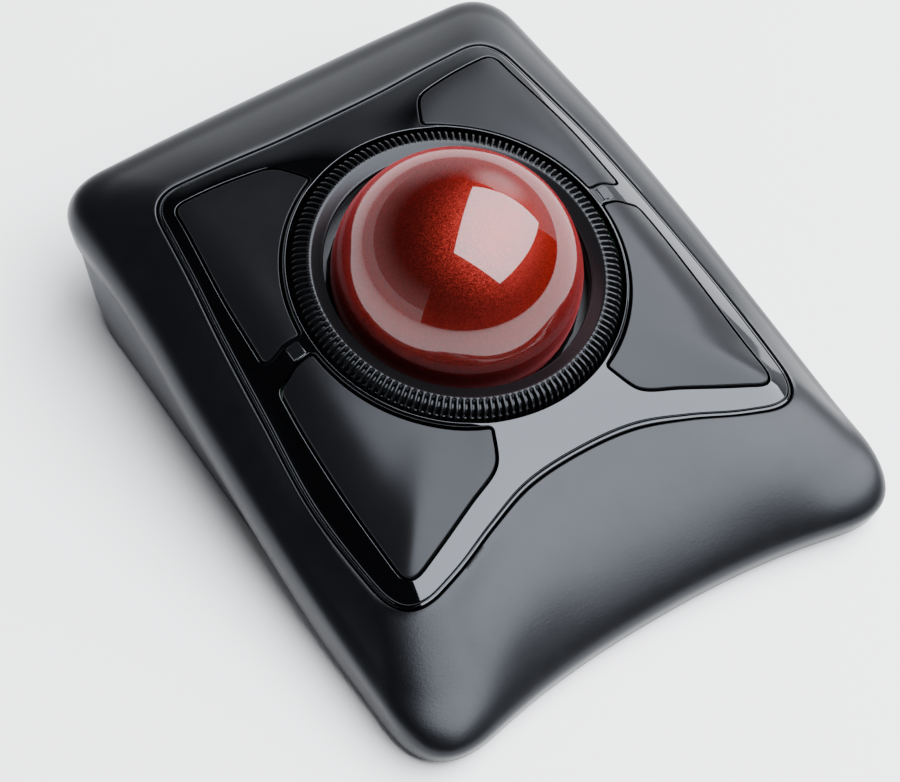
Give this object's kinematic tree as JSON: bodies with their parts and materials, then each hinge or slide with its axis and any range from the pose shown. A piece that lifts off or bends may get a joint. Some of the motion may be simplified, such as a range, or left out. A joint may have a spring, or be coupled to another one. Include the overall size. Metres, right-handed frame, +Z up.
{
  "type": "trackball",
  "caption": "Desktop trackball: large ball in a tilted scroll ring, four wide buttons, sloping wedge casing, battery powered and wireless.",
  "frame": {"origin": "on the desk, under the middle of the object's box", "axes": "+X to the user's right, +Y away from the user, +Z up"},
  "size_m": [0.1296, 0.1559, 0.065],
  "materials": {
    "shell": "satin graphite",
    "bezel": "polished piano black",
    "button": "satin black",
    "ring": "satin black, ribbed",
    "ball": "deep red pearl under clear gloss",
    "base": "fine textured black",
    "inner_plastic": "moulded black",
    "white_plastic": "smooth white",
    "lens": "clear moulding",
    "board": "green solder mask",
    "steel": "plated",
    "battery": "printed sleeve, left plain",
    "rubber": "matt"
  },
  "bodies": {
    "case": {"top_shell": "shell", "bezel": "bezel", "base_shell": "base", "bridge_tile_left": "button", "bridge_tile_right": "button", "ring_track": "inner_plastic", "ball_socket": "inner_plastic", "support_ball_1": "white_plastic", "support_ball_2": "white_plastic", "support_ball_3": "white_plastic", "sensor_lens": "lens", "sensor_chip": "inner_plastic", "sensor_board": "board", "ring_sensor": "inner_plastic", "ring_sensor_board": "board", "switch_board_left": "board", "switch_board_right": "board", "micro_switch_front_left": "inner_plastic", "micro_switch_front_right": "inner_plastic", "micro_switch_back_left": "inner_plastic", "micro_switch_back_right": "inner_plastic", "main_board": "board", "battery_front": "battery", "battery_back": "battery", "contact_plate_front": "steel", "contact_plate_back": "steel", "battery_spring_front": "steel", "battery_spring_back": "steel", "receiver_plug": "steel", "receiver_cap": "inner_plastic", "foot_front_left": "rubber", "foot_front_middle": "rubber", "foot_front_right": "rubber", "foot_back_left": "rubber", "foot_back_right": "rubber", "screw_1": "steel", "screw_2": "steel", "screw_3": "steel", "screw_4": "steel", "screw_5": "steel", "screw_6": "steel", "screw_7": "steel", "screw_8": "steel"},
    "ball": {"trackball": "ball"},
    "ring": {"scroll_ring": "ring", "encoder_skirt": "inner_plastic"},
    "front_left_button": {"button_front_left": "button"},
    "front_right_button": {"button_front_right": "button"},
    "back_left_button": {"button_back_left": "button"},
    "back_right_button": {"button_back_right": "button"},
    "front_left_plunger": {"switch_plunger_front_left": "white_plastic"},
    "front_right_plunger": {"switch_plunger_front_right": "white_plastic"},
    "back_left_plunger": {"switch_plunger_back_left": "white_plastic"},
    "back_right_plunger": {"switch_plunger_back_right": "white_plastic"},
    "door": {"battery_door": "base"},
    "power_slider": {"power_switch": "inner_plastic"},
    "connect_key": {"connect_button": "inner_plastic"}
  },
  "joints": [
    {"name": "ball_roll", "type": "hinge", "parent": "case", "child": "ball", "pos_m": [0, 0.007, 0.0375], "axis": [1, 0, 0], "continuous": true},
    {"name": "ring_spin", "type": "hinge", "parent": "case", "child": "ring", "pos_m": [0, 0.007, 0.0375], "axis": [0, -0.1392, 0.9903], "continuous": true},
    {"name": "front_left_press", "type": "hinge", "parent": "case", "child": "front_left_button", "pos_m": [-0.043, 0.004, 0.034], "axis": [1, 0, 0], "range_deg": [0, 1.3], "stiffness_Nm_per_rad": 0.4, "springref_deg": -2.86},
    {"name": "front_right_press", "type": "hinge", "parent": "case", "child": "front_right_button", "pos_m": [0.043, 0.004, 0.034], "axis": [1, 0, 0], "range_deg": [0, 1.3], "stiffness_Nm_per_rad": 0.4, "springref_deg": -2.86},
    {"name": "back_left_press", "type": "hinge", "parent": "case", "child": "back_left_button", "pos_m": [-0.043, 0.0123, 0.036], "axis": [-1, 0, 0], "range_deg": [0, 1.8], "stiffness_Nm_per_rad": 0.4, "springref_deg": -2.86},
    {"name": "back_right_press", "type": "hinge", "parent": "case", "child": "back_right_button", "pos_m": [0.043, 0.0123, 0.036], "axis": [-1, 0, 0], "range_deg": [0, 1.8], "stiffness_Nm_per_rad": 0.4, "springref_deg": -2.86},
    {"name": "front_left_click", "type": "slide", "parent": "case", "child": "front_left_plunger", "axis": [0, 0.1392, -0.9903], "range_m": [0, 0.00065]},
    {"name": "front_right_click", "type": "slide", "parent": "case", "child": "front_right_plunger", "axis": [0, 0.1392, -0.9903], "range_m": [0, 0.00065]},
    {"name": "back_left_click", "type": "slide", "parent": "case", "child": "back_left_plunger", "axis": [0, 0.1392, -0.9903], "range_m": [0, 0.00055]},
    {"name": "back_right_click", "type": "slide", "parent": "case", "child": "back_right_plunger", "axis": [0, 0.1392, -0.9903], "range_m": [0, 0.00055]},
    {"name": "door_slide", "type": "slide", "parent": "case", "child": "door", "axis": [0, 1, 0], "range_m": [0, 0.034]},
    {"name": "power_slide", "type": "slide", "parent": "case", "child": "power_slider", "axis": [1, 0, 0], "range_m": [0, 0.0032]},
    {"name": "connect_press", "type": "slide", "parent": "case", "child": "connect_key", "axis": [0, 0, 1], "range_m": [0, 0.0005], "stiffness_N_per_m": 200, "springref_m": -0.001}
  ],
  "couplings": [
    {"joint": "front_left_click", "follows": "front_left_press", "m_per_rad": 0.027},
    {"joint": "front_right_click", "follows": "front_right_press", "m_per_rad": 0.027},
    {"joint": "back_left_click", "follows": "back_left_press", "m_per_rad": 0.0157},
    {"joint": "back_right_click", "follows": "back_right_press", "m_per_rad": 0.0157}
  ]
}
